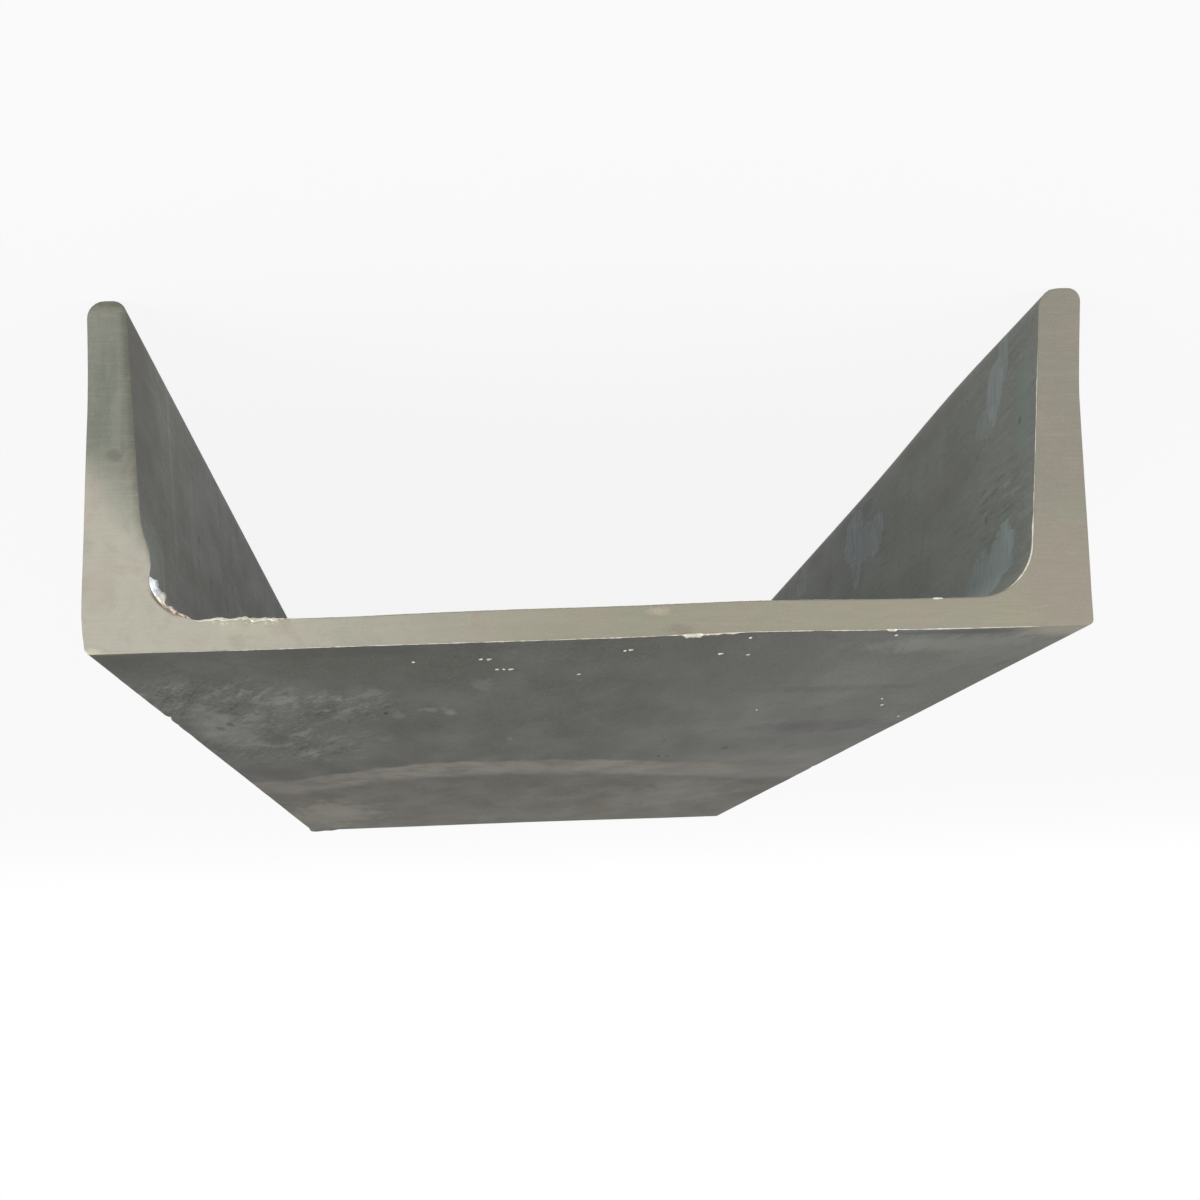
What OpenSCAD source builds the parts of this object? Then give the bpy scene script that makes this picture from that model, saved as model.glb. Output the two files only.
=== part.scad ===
// Taper flange steel channel, hot rolled as one piece and sawn to length.
// It lies with its toes on the floor and its web on top.
// X runs across the section, Y along the length, and Z is up.
// The origin is on the floor, under the middle of the piece.

/* [Piece] */
// Length of the sawn piece
cut_length = 700; // [50:1:12000]

/* [Section] */
// Depth of the section, over the backs of both flanges
depth = 220; // [120:1:400]
// Width of a flange, from the back of the web to its toe
flange_w = 77; // [50:0.5:95]
// Thickness of the web
web_t = 7; // [4:0.1:20]
// Thickness of a flange, half way along its outstand
flange_t = 11; // [10:0.1:20]
// Change of a flange's thickness for each millimetre of its outstand
flange_taper = 0.1; // [0:0.005:0.13]

/* [Corners] */
// Radius of the root fillet between web and flange
root_r = 12.5; // [3:0.5:20]
// Radius of a toe's inner edge
toe_in_r = 3.5; // [0.5:0.1:4.5]
// Radius of a toe's outer edge
toe_out_r = 3; // [0.5:0.1:4]
// Radius of the heel, where the backs of web and flange meet
heel_r = 2.5; // [0.5:0.1:10]

/* [Hidden] */
$fn = 96;

// Half the depth, from the middle of the web to a flange's back
half_depth = depth / 2;
// Outstand of a flange, from the web's inner face to the toe
outstand = flange_w - web_t;
// How much thicker the root is, and the toe thinner, than the middle
taper_rise = flange_taper * outstand / 2;
// How far a rounding arc passes the sides that it runs into, so that they cross
bite = 0.001;
// How far the waste cut off a corner reaches past its sides
skirt = 1;

// The corners of half a section, before rounding
toe_out = [half_depth, 0];
toe_in = [half_depth - flange_t + taper_rise, 0];
root = [half_depth - flange_t - taper_rise, outstand];
heel = [half_depth, flange_w];
web_back = [0, flange_w];
web_inner = [0, outstand];

// Unit vector from one point towards another
function towards(from, to) = (to - from) / norm(to - from);

// Half the angle at a corner, between its sides towards points a and b
function half_angle(corner, a, b) =
    acos(towards(corner, a) * towards(corner, b)) / 2;

// Where an arc of radius r touches the side from a corner towards point a
function touch(corner, a, b, r) =
    corner + towards(corner, a) * r / tan(half_angle(corner, a, b));

// Centre of the arc of radius r that rounds a corner
function arc_centre(corner, a, b, r) =
    corner + towards([0, 0], towards(corner, a) + towards(corner, b))
        * r / sin(half_angle(corner, a, b));

// The disc whose edge rounds a corner
module corner_disc(corner, a, b, r) {
    translate(arc_centre(corner, a, b, r)) circle(r = r + bite);
}

// What is cut off a convex corner to round it, with a skirt outside it
module corner_waste(corner, a, b, r) {
    centre = arc_centre(corner, a, b, r);
    growth = (r + skirt) / r;
    difference() {
        polygon([
            centre,
            centre + (touch(corner, a, b, r) - centre) * growth,
            centre + (corner - centre) * growth,
            centre + (touch(corner, b, a, r) - centre) * growth
        ]);
        corner_disc(corner, a, b, r);
    }
}

// One flange with its half of the web. The root is filled straight across
// between the fillet's ends, and a disc then hollows it.
module half_section() {
    difference() {
        polygon([
            web_inner,
            touch(root, web_inner, toe_in, root_r),
            touch(root, toe_in, web_inner, root_r),
            toe_in,
            toe_out,
            heel,
            web_back
        ]);
        corner_disc(root, web_inner, toe_in, root_r);
        corner_waste(toe_in, root, toe_out, toe_in_r);
        corner_waste(toe_out, toe_in, heel, toe_out_r);
        corner_waste(heel, toe_out, web_back, heel_r);
    }
}

// The whole section
module section() {
    half_section();
    mirror([1, 0]) half_section();
}

// The rolled channel, its section drawn out along Y
module channel() {
    color("dimgray")
        rotate([90, 0, 0])
            linear_extrude(height = cut_length, center = true)
                section();
}

channel();
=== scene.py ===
import math
from collections import namedtuple

import bpy
import numpy as np
from mathutils import Matrix, Vector, noise


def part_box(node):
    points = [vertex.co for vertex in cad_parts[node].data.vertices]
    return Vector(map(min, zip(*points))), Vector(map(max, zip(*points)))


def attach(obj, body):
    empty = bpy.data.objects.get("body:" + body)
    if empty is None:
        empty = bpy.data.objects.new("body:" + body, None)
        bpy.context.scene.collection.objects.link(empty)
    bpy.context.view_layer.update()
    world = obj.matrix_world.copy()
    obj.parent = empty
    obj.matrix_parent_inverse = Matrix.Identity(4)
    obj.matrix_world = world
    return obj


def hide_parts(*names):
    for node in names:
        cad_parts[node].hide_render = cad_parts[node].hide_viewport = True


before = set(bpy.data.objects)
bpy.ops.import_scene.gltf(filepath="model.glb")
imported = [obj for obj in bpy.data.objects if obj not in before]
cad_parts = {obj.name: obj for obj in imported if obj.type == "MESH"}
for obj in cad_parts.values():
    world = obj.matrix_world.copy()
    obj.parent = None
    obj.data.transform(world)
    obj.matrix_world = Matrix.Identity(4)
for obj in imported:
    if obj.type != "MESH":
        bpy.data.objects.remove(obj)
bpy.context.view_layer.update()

# The frame: X across the section, Y along the piece, Z up, with the toes on the floor.
# Everything below is in metres. MM turns millimetres into metres.
MM = 0.001
CAD_LOW, CAD_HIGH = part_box("channel")
HALF_DEPTH = (CAD_HIGH.x - CAD_LOW.x) / 2
HALF_LENGTH = (CAD_HIGH.y - CAD_LOW.y) / 2

# ---------------------------------------------------------------- the rolled section
# The piece is within mill tolerance, but it isn't perfectly square, and its two flanges differ.
# Thickness of the web, how far its middle sags, and the share of the half depth that sags with it
WEB = 6.9 * MM
WEB_SAG = 0.25 * MM
SAG_REACH = 0.86
# How far below the back of the web a flange's back starts to swell, and how far down its tuck reaches
BULGE_START = 52 * MM
TUCK_REACH = 12 * MM

# The flanges by the side of X that they are on, in millimetres. Toe and root are the thickness there, inside
# and outside the radii of the toe's edges, heel and fillet those of the heel and of the root, lean how far
# the toe leans out, bulge how far the back swells at the toe, hollow how far it is hollow above that, and
# tuck how far it tucks in at the heel.
Flange = namedtuple("Flange", "width toe root inside outside heel fillet lean bulge hollow tuck")
FLANGES = {
    +1: Flange(78.0, 7.0, 13.9, 3.1, 3.9, 1.2, 13.2, -2.75, 1.4, -0.3, 0.9),
    -1: Flange(76.9, 7.65, 13.6, 4.9, 3.1, 1.2, 12.5, 1.1, 1.6, 0.1, 0.0),
}

# How many segments each stretch of the outline gets
TOE_STEPS = 6
FLANGE_STEPS = 18
CORNER_STEPS = 5
HEEL_STEPS = 6
WEB_STEPS = 32
# Where the rows of points lie across the thickness, from the trough side, 0, to the back, 1
ACROSS = np.array([0, 0.06, 0.25, 0.5, 0.75, 0.94, 1])
# The rings of points along the piece, and how much they crowd towards its ends, from 0 to 1
RINGS = 320
END_CROWDING = 0.75
# The dulled sawn edge: how far in it lies at the sawn face, and how far back it starts
EDGE_INSET = 0.25 * MM
EDGE_SETBACK = 0.15 * MM
# Edges that turn by more than this many degrees stay sharp
SHARP_TURN = 28
# The skin's material slots
TROUGH_SLOT = 0
BACK_SLOT = 1
SAWN_SLOT = 2


def unit(vector):
    return vector / np.linalg.norm(vector)


def line(start, end, steps):
    """Points from start to end, without the last one."""
    share = np.linspace(0, 1, steps + 1)[:-1, None]
    return start * (1 - share) + end * share


def rounding(before, corner, after, radius, steps):
    """The arc that rounds a corner between the points before and after it."""
    first = unit(before - corner)
    second = unit(after - corner)
    half_angle = math.acos(float(first @ second)) / 2
    centre = corner + unit(first + second) * radius / math.sin(half_angle)
    start = corner + first * radius / math.tan(half_angle) - centre
    end = corner + second * radius / math.tan(half_angle) - centre
    turn = math.pi - 2 * half_angle
    share = np.linspace(0, 1, steps + 1)[:, None]
    return centre + (np.sin((1 - share) * turn) * start + np.sin(share * turn) * end) / math.sin(turn)


def flange_and_half_web(flange):
    """The inner and outer outlines of one half, from its toe to the middle of the web.
    Both have as many points, so that they pair up across the thickness."""
    toe_back = np.array([HALF_DEPTH, -flange.width * MM])
    toe_face = toe_back - [flange.toe * MM, 0]
    heel = np.array([HALF_DEPTH, 0.0])
    root = heel - [flange.root * MM, WEB]
    web_back = np.array([0.0, 0.0])
    web_face = np.array([0.0, -WEB])

    toe_arc = rounding(toe_back, toe_face, root, flange.inside * MM, TOE_STEPS)
    root_arc = rounding(toe_face, root, web_face, flange.fillet * MM, 2 * CORNER_STEPS + HEEL_STEPS)
    inner = np.vstack([
        toe_arc[:-1],
        line(toe_arc[-1], root_arc[0], FLANGE_STEPS),
        root_arc[:-1],
        line(root_arc[-1], web_face, WEB_STEPS),
        web_face[None],
    ])

    toe_arc = rounding(toe_face, toe_back, heel, flange.outside * MM, TOE_STEPS)
    heel_arc = rounding(toe_back, heel, web_back, flange.heel * MM, HEEL_STEPS)
    above_heel = np.array([HALF_DEPTH, root_arc[0][1]])
    beside_heel = np.array([root_arc[-1][0], 0.0])
    outer = np.vstack([
        toe_arc[:-1],
        line(toe_arc[-1], above_heel, FLANGE_STEPS),
        line(above_heel, heel_arc[0], CORNER_STEPS),
        heel_arc[:-1],
        line(heel_arc[-1], beside_heel, CORNER_STEPS),
        line(beside_heel, web_back, WEB_STEPS),
        web_back[None],
    ])
    return inner, outer


def out_of_square(grid, flange):
    """Leans the flange, swells its back at the toe and sags the web, as rolling left them."""
    width = flange.width * MM
    drop = -grid[..., 1]
    outstand = np.clip((drop - WEB) / (width - WEB), 0, 1)
    swell = np.clip((drop - BULGE_START) / (width - BULGE_START), 0, 1)
    above = np.sin(np.clip(drop / BULGE_START, 0, 1) * math.pi / 2) ** 2
    hollow = np.where(drop < BULGE_START, above, (1 - swell) ** 1.5)
    tuck = flange.tuck * np.clip(1 - drop / TUCK_REACH, 0, 1) ** 2 * (grid[..., 0] / HALF_DEPTH) ** 8
    back = (flange.bulge * swell ** 1.3 - flange.hollow * hollow - tuck) * MM
    sag = np.cos(np.clip(grid[..., 0] / (SAG_REACH * HALF_DEPTH), 0, 1) * math.pi / 2) ** 2
    shaped = grid.copy()
    shaped[..., 0] += flange.lean * MM * outstand + ACROSS * back
    shaped[..., 1] -= WEB_SAG * sag
    return shaped


def section():
    """The whole section as a strip: point [i, j] is i along it, from the toe at +X to the toe at -X,
    and j across its thickness, from the trough side to the back."""
    halves = []
    for side, flange in FLANGES.items():
        inner, outer = flange_and_half_web(flange)
        grid = inner[:, None] * (1 - ACROSS[:, None]) + outer[:, None] * ACROSS[:, None]
        grid = out_of_square(grid, flange)
        grid[..., 0] *= side
        halves.append(grid)
    strip = np.vstack([halves[0], halves[1][-2::-1]])
    return settle(strip)


def settle(strip):
    """Stands the section on both toes, on the floor."""
    points = strip.reshape(-1, 2)
    right = points[np.argmin(np.where(points[:, 0] > 0, points[:, 1], 1))]
    left = points[np.argmin(np.where(points[:, 0] < 0, points[:, 1], 1))]
    tilt = -math.atan2(right[1] - left[1], right[0] - left[0])
    turn = np.array([[math.cos(tilt), math.sin(tilt)], [-math.sin(tilt), math.cos(tilt)]])
    level = strip @ turn
    level[..., 1] -= level[..., 1].min()
    return level


def loop_indices(strip):
    """The strip's border, as (i, j) pairs in order round it."""
    last_i = strip.shape[0] - 1
    last_j = strip.shape[1] - 1
    trough_side = [(i, 0) for i in range(last_i + 1)]
    far_toe = [(last_i, j) for j in range(1, last_j)]
    back_side = [(i, last_j) for i in range(last_i, -1, -1)]
    near_toe = [(0, j) for j in range(last_j - 1, 0, -1)]
    return trough_side + far_toe + back_side + near_toe


def outward(loop):
    """The outward normals of a closed outline that runs along the trough side first."""
    along = np.roll(loop, -1, axis=0) - np.roll(loop, 1, axis=0)
    normals = np.stack([along[:, 1], -along[:, 0]], axis=1)
    normals /= np.linalg.norm(normals, axis=1)[:, None]
    centre_side = np.cross(loop, np.roll(loop, -1, axis=0)).sum()
    return normals if centre_side > 0 else -normals


# ---------------------------------------------------------------- relief of the rolled faces
# Ripples all over the skin, and those of the crumpled patch, in millimetres: height, size of a lump, and how
# many times longer a lump is along the piece
RIPPLES = ((0.10, 60, 2.5), (0.045, 15, 3), (0.02, 6, 3))
CRUMPLED_RIPPLES = ((0.24, 12, 2.5), (0.12, 6, 3))
# Where the web's back is crumpled
CRUMPLE_CENTRE = Vector((78 * MM, -HALF_LENGTH + 145 * MM, CAD_HIGH.z))
CRUMPLE_REACH = Vector((52 * MM, 140 * MM, 14 * MM))
# Nicks in the heels: the side of X, the distance from the near end, the reach and the depth
HEEL_NICKS = (
    (1, 132 * MM, 7 * MM, 1.1 * MM),
    (1, 150 * MM, 3 * MM, 0.4 * MM),
    (-1, 380 * MM, 6 * MM, 0.3 * MM),
)
# Where the saw left the trough's edge uneven: from and to x, over how much of that it sets in, its highest z,
# how far in from the end it reaches, how deep it is, and the size of its teeth
CHEWED_X = (68 * MM, 92 * MM)
CHEWED_ONSET = 6 * MM
CHEWED_BELOW = CAD_HIGH.z - 5 * MM
CHEWED_REACH = 6 * MM
CHEWED_DEPTH = 0.8 * MM
CHEWED_TOOTH = 2.6 * MM
# How the web departs from flat at the near end: the middle and the reach of the dip at -X, and of the thinner
# stretch at +X, their depths, how far along they fade out, and how far they stay away from the heels
WEB_DIP = (-37 * MM, 22 * MM, 0.45 * MM)
WEB_THIN = (58 * MM, 22 * MM, 0.42 * MM)
WEB_FADE = 260 * MM
WEB_MARGIN = 12 * MM
# Where the toe at -X swells into the trough: distance from the near end, reach, depth, and how high up
TOE_SWELL = (90 * MM, 75 * MM, 1.0 * MM)
SWELL_TOP = 30 * MM
# The lip that the saw pushed out of the flange at +X, just above its root: z, reach, depth and how far along,
# and the x past which it lies
LIP = (57.8 * MM, 4.9 * MM, 1.75 * MM, 14 * MM)
LIP_PAST = 85 * MM
# The middle of the web's thickness. A point below it, and this far inside the backs of the flanges, is on the
# trough side, where the ripples are this much of what they are outside
WEB_MIDDLE = CAD_HIGH.z - WEB / 2
TROUGH_INSET = 4.5 * MM
TROUGH_CALM = 0.3


def ripple(point, size, stretch=1.0, seed=0):
    """Smooth noise from -1 to 1, with lumps of about that size, longer along the piece by stretch."""
    return noise.noise(Vector((point.x + seed, point.y / stretch, point.z)) / size)


def ripples(point, rows, first_seed):
    """Ripples of several sizes added up."""
    waves = enumerate(rows, first_seed)
    return sum(high * MM * ripple(point, size * MM, stretch, seed) for seed, (high, size, stretch) in waves)


def crumpled(point):
    """How much a point lies in the crumpled patch, from 0 to 1."""
    away = point - CRUMPLE_CENTRE
    distance = Vector((away.x / CRUMPLE_REACH.x, away.y / CRUMPLE_REACH.y, away.z / CRUMPLE_REACH.z)).length
    return max(0.0, 1 - distance) ** 0.7


def chewed(point):
    """How uneven the saw left the trough's edge beside the root at +X, fading away from the near end."""
    along = point.y + HALF_LENGTH
    if along > CHEWED_REACH or point.z > CHEWED_BELOW or not CHEWED_X[0] < point.x < CHEWED_X[1]:
        return 0.0
    onset = min(1.0, (point.x - CHEWED_X[0]) / CHEWED_ONSET)
    return onset * (1 - along / CHEWED_REACH) ** 2 * CHEWED_DEPTH * ripple(point, CHEWED_TOOTH, seed=5)


def hump(value, middle, reach):
    """A smooth hump, 1 at the middle and next to nothing at twice the reach."""
    return math.exp(-((value - middle) / reach) ** 2)


def in_trough(point):
    return point.z < WEB_MIDDLE and abs(point.x) < HALF_DEPTH - TROUGH_INSET


def wander(point):
    """The departures of the near end from the plain section: of the web, of the toe at -X and of the
    flange at +X beside its root."""
    along = point.y + HALF_LENGTH
    height = 0.0
    in_web = point.z > CAD_HIGH.z - WEB_MARGIN and abs(point.x) < HALF_DEPTH - WEB_MARGIN
    if in_web and along < WEB_FADE:
        fade = (1 - along / WEB_FADE) ** 2
        middle, reach, deep = WEB_DIP
        outside = 1 if point.z > WEB_MIDDLE else -1
        height -= outside * deep * fade * hump(point.x, middle, reach)
        middle, reach, deep = WEB_THIN
        if point.z < WEB_MIDDLE:
            height -= deep * fade * hump(point.x, middle, reach)
    if in_trough(point) and point.x < 0 and point.z < SWELL_TOP:
        middle, reach, deep = TOE_SWELL
        height += deep * hump(along, middle, reach) * (1 - point.z / SWELL_TOP)
    middle, reach, deep, fading = LIP
    if in_trough(point) and point.x > LIP_PAST and along < fading:
        height += deep * hump(point.z, middle, reach) * (1 - along / fading) ** 2
    return height


def relief(point):
    """How far the rolled skin stands out from the plain section at a point."""
    height = ripples(point, RIPPLES, 0) * (TROUGH_CALM if in_trough(point) else 1.0)
    patch = crumpled(point)
    if patch > 0:
        height += patch * ripples(point, CRUMPLED_RIPPLES, len(RIPPLES))
    height += chewed(point) + wander(point)
    for side, from_end, reach, deep in HEEL_NICKS:
        heel = Vector((side * HALF_DEPTH, -HALF_LENGTH + from_end, CAD_HIGH.z))
        height -= deep * max(0.0, 1 - (point - heel).length / reach)
    return height


# ---------------------------------------------------------------- the channel's mesh
def mesh_object(name, points, faces, materials):
    mesh = bpy.data.meshes.new(name)
    mesh.from_pydata([tuple(p) for p in points], [], faces)
    mesh.validate()
    for material in materials:
        mesh.materials.append(material)
    made = bpy.data.objects.new(name, mesh)
    bpy.context.scene.collection.objects.link(made)
    return made


def dress(piece):
    """Rides on the one body."""
    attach(piece, "root")


def stations():
    """Places along the piece, closer together towards its sawn ends."""
    share = np.linspace(-1, 1, RINGS)
    return HALF_LENGTH * (share + END_CROWDING * np.sin(math.pi * share) / math.pi)


def ring_places():
    """Each ring's place and how far it stands off the outline: the sawn edges are slightly dulled."""
    places = stations()
    rings = [(places[0], -EDGE_INSET), (places[0] + EDGE_SETBACK, 0.0)]
    rings += [(y, 0.0) for y in places[1:-1]]
    rings += [(places[-1] - EDGE_SETBACK, 0.0), (places[-1], -EDGE_INSET)]
    return rings


def quads_between(near, far, count):
    """Faces between two rings of that many points, whose first points have the numbers near and far."""
    return [(near + k, near + (k + 1) % count, far + (k + 1) % count, far + k) for k in range(count)]


def end_cap(border, ring, ring_start, inside_start):
    """The inside points of a sawn end, spread between the ring's two sides as they stand after the relief,
    and its faces as a grid between them and the ring."""
    last_i, last_j = map(max, zip(*border))
    edge = dict(zip(border, ring))
    inside = [(i, j) for i in range(1, last_i) for j in range(1, last_j)]
    places = [edge[i, 0] * (1 - ACROSS[j]) + edge[i, last_j] * ACROSS[j] for i, j in inside]
    number = {pair: inside_start + k for k, pair in enumerate(inside)}
    number.update({pair: ring_start + k for k, pair in enumerate(border)})
    faces = []
    for i in range(last_i):
        for j in range(last_j):
            corners = ((i, j), (i + 1, j), (i + 1, j + 1), (i, j + 1))
            faces.append(tuple(number[pair] for pair in corners))
    return places, faces


def channel_mesh(trough_scale, back_scale, sawn):
    """One closed skin: a ring of points at each place along it, and a gridded face at each end."""
    strip = section()
    border = loop_indices(strip)
    loop = np.array([strip[pair] for pair in border])
    normals = outward(loop)
    rings = ring_places()
    count = len(loop)

    points = []
    for y, offset in rings:
        for (x, z), (nx, nz) in zip(loop, normals):
            lift = offset + relief(Vector((x, y, z)))
            points.append((x + nx * lift, y, max(0.0, z + nz * lift)))

    trough_side = [j < strip.shape[1] / 2 for _, j in border]
    both_ends = zip(trough_side, trough_side[1:] + trough_side[:1])
    skins = [TROUGH_SLOT if this and following else BACK_SLOT for this, following in both_ends]
    faces = []
    slots = []
    for ring in range(len(rings) - 1):
        faces += quads_between(ring * count, (ring + 1) * count, count)
        sawn_edge = ring in (0, len(rings) - 2)
        slots += [SAWN_SLOT] * count if sawn_edge else skins

    for ring, turned in ((0, True), (len(rings) - 1, False)):
        start = ring * count
        inside, quads = end_cap(border, np.array(points[start:start + count]), start, len(points))
        points += inside
        faces += [quad[::-1] if turned else quad for quad in quads]
        slots += [SAWN_SLOT] * len(quads)

    made = mesh_object("channel_skin", points, faces, [trough_scale, back_scale, sawn])
    made.data.polygons.foreach_set("material_index", slots)
    made.data.polygons.foreach_set("use_smooth", [True] * len(slots))
    made.data.set_sharp_from_angle(angle=math.radians(SHARP_TURN))
    dress(made)
    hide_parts("channel")
    return made


# ---------------------------------------------------------------- burrs and chips at the sawn end
# A burr is a thin ridge along part of a sawn edge, between two points of the outline, (x, z), in
# millimetres. High is how far it stands off the outline, cover how much of the sawn face it covers, front how
# far it stands in front of that face, back how far back it reaches, gaps the share of it that is missing,
# swell and tooth the lengths of its swells and teeth, and end the end it is on: the near one, -1, or the far
# one, 1.
Burr = namedtuple("Burr", "start stop high cover front back gaps swell tooth end", defaults=(-1,))
BURRS = (
    # The back of the web: a broken bright line, with a torn flake towards -X
    Burr((104, 78), (-90, 77), 0.24, 0.22, 0.02, 0.5, 0.36, 5, 1.1),
    Burr((-60, 77), (-99, 77), 0.14, 0.26, 0.02, 0.4, 0.10, 7, 2.0),
    Burr((-19.5, 78), (-23, 78), 0.80, 0.30, 0.30, 2.4, 0.00, 3, 0.8),
    Burr((-22, 78), (-33, 78), 0.75, 0.15, 0.10, 1.4, 0.22, 2.5, 0.9),
    Burr((-64, 77), (-66.5, 77), 0.42, 0.35, 0.08, 0.8, 0.05, 2, 0.7),
    # The trough side of the web: smeared metal beside the root at +X, then a faint line
    Burr((86, 70.8), (63, 70.8), 0.65, 1.50, 0.12, 0.6, 0.40, 1.3, 0.55),
    Burr((64, 70.8), (-84, 70), 0.05, 0.24, 0.05, 0.5, 0.60, 6, 1.1),
    Burr((-73.5, 70), (-76.4, 70), 0.20, 0.40, 0.05, 0.6, 0.05, 2, 0.9),
    # The flange at -X: a thin bright line down its inner edge, thickest in the root
    Burr((-97, 55), (-102, 14), 0.20, 0.08, 0.02, 0.4, 0.22, 9, 1.4),
    Burr((-90, 69), (-97, 50), 0.36, 0.12, 0.03, 0.5, 0.00, 12, 2.5),
    # The root at +X: a bright fold and a brown tail
    Burr((96.2, 61.2), (91.2, 67.8), 2.40, 0.12, 0.25, 2.6, 0.00, 12, 1.1),
    Burr((93.2, 66.2), (86.5, 70.6), 0.85, 0.20, 0.12, 0.9, 0.02, 4, 0.9),
    # The heel at +X of the far end
    Burr((109.5, 75), (94, 78), 0.90, 0.20, 0.15, 1.8, 0.00, 14, 5.0, end=1),
)
# How far apart a burr's rings are, and the size below which it is only a thread inside the steel: how deep
# that lies, how much deeper for each burr before it, and its radius
BURR_SPACING = 0.35 * MM
BURR_LEAST = 0.03
BURIED = 0.14 * MM
BURIED_STEP = 0.004 * MM
BURIED_RADIUS = 0.04 * MM

# Saw chips that stick to the back of the web, in millimetres: x, distance from the sawn end, length along x
CHIPS = (
    (40.0, 29.0, 0.8), (24.6, 27.8, 1.0), (22.7, 28.3, 1.3), (20.6, 46.8, 1.0), (18.9, 47.2, 0.6),
    (17.2, 47.6, 1.3), (-8.0, 21.8, 0.8), (-9.3, 20.4, 1.2), (-31.2, 33.4, 1.5), (-38.1, 36.6, 0.8),
    (-35.0, 8.5, 0.9), (-67.6, 8.2, 0.7), (-89.5, 137.0, 0.6), (-92.7, 153.4, 0.9),
    (-104.6, 188.2, 0.7), (-56.8, 158.0, 0.4), (0.3, 61.5, 0.5),
)


def stretch_of(loop, normals, start, end, spacing):
    """Evenly spaced points and outward normals along the outline from near start to near end."""
    def nearest(place):
        return int(np.argmin(np.linalg.norm(loop - np.array(place) * MM, axis=1)))
    first = nearest(start)
    last = nearest(end)
    order = list(range(first, last + 1)) if first <= last else list(range(first, last - 1, -1))
    path = loop[order]
    facing = normals[order]
    along = np.concatenate([[0], np.cumsum(np.linalg.norm(np.diff(path, axis=0), axis=1))])
    places = np.linspace(0, along[-1], max(3, int(along[-1] / spacing)))
    spread = [np.stack([np.interp(places, along, c) for c in part.T], axis=1) for part in (path, facing)]
    return spread[0], spread[1], places


def burr_size(burr, place, length, seed):
    """How big the burr is at a place along it, from 0 to about 1."""
    at = Vector((place, seed * 3.7 * MM, 0))
    swell = noise.noise(at / (burr.swell * MM)) * 0.5 + 0.5
    tooth = noise.noise(at / (burr.tooth * MM) + Vector((9, 0, 0))) * 0.5 + 0.5
    size = max(0.0, swell * 0.8 + tooth * 0.6 - burr.gaps)
    return size * min(1.0, 5 * min(place, length - place) / length)


def burr_ring(burr, size, seed):
    """The burr's cross-section: how far each point is off the outline, and how far behind the sawn face.
    Where there is no burr it is a thread inside the steel, and no two burrs' threads meet."""
    if size < BURR_LEAST:
        deep = BURIED + BURIED_STEP * seed
        angles = [math.radians(210 + 60 * k) for k in range(6)]
        return [(BURIED_RADIUS * math.cos(a) - deep, deep + BURIED_RADIUS * math.sin(a)) for a in angles]
    high = burr.high * size * MM
    cover = burr.cover * size * MM
    front = burr.front * size * MM
    back = burr.back * (0.4 + 0.6 * size) * MM
    return [
        (-cover, -0.01 * MM),
        (-0.4 * cover, -front - 0.02 * MM),
        (0.5 * high, -0.8 * front),
        (high, 0.2 * back),
        (0.55 * high, 0.6 * back),
        (-BURIED, back),
    ]


def burr_ridge(loop, normals, burr, seed):
    """A closed ridge, with a ring of points at each place along it."""
    path, facing, places = stretch_of(loop, normals, burr.start, burr.stop, BURR_SPACING)
    points = []
    for (x, z), (nx, nz), place in zip(path, facing, places):
        size = burr_size(burr, place, places[-1], seed)
        lift = relief(Vector((x, burr.end * HALF_LENGTH, z)))
        for off, behind in burr_ring(burr, size, seed):
            out = off + lift
            points.append((x + nx * out, burr.end * (HALF_LENGTH - behind), z + nz * out))
    count = len(points) // len(places)
    faces = [tuple(range(count))]
    for ring in range(len(places) - 1):
        quads = quads_between(ring * count, (ring + 1) * count, count)
        faces += [(b, a, d, c) for a, b, c, d in quads]
    faces.append(tuple(range(len(points) - 1, len(points) - count - 1, -1)))
    return points, faces


def chip(x, from_end, length, top, seed):
    """A small bent flake of swarf that lies on the back of the web."""
    sides = 7
    half_width = 0.9
    centre = Vector((x * MM, -HALF_LENGTH + from_end * MM, top))
    turn = noise.noise(Vector((seed * 1.7, 0.3, 0))) * 0.9
    points = []
    for level, share in ((-0.08, 1.0), (0.14, 0.7)):
        for k in range(sides):
            angle = 2 * math.pi * k / sides
            ragged = 1 + 0.5 * noise.noise(Vector((seed * 2.3, k * 1.9, 0)))
            across = math.cos(angle) * length / 2 * share * ragged
            along = math.sin(angle) * half_width * share * ragged
            bent = level + 0.12 * max(0.0, math.cos(angle)) * length
            points.append(centre + Vector((
                (across * math.cos(turn) - along * math.sin(turn)) * MM,
                (across * math.sin(turn) + along * math.cos(turn)) * MM,
                bent * MM,
            )))
    faces = [tuple(range(sides - 1, -1, -1)), tuple(range(sides, 2 * sides))]
    return points, faces + quads_between(0, sides, sides)


def merged(parts):
    points = []
    faces = []
    for part_points, part_faces in parts:
        start = len(points)
        points += part_points
        faces += [tuple(start + k for k in face) for face in part_faces]
    return points, faces


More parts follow.
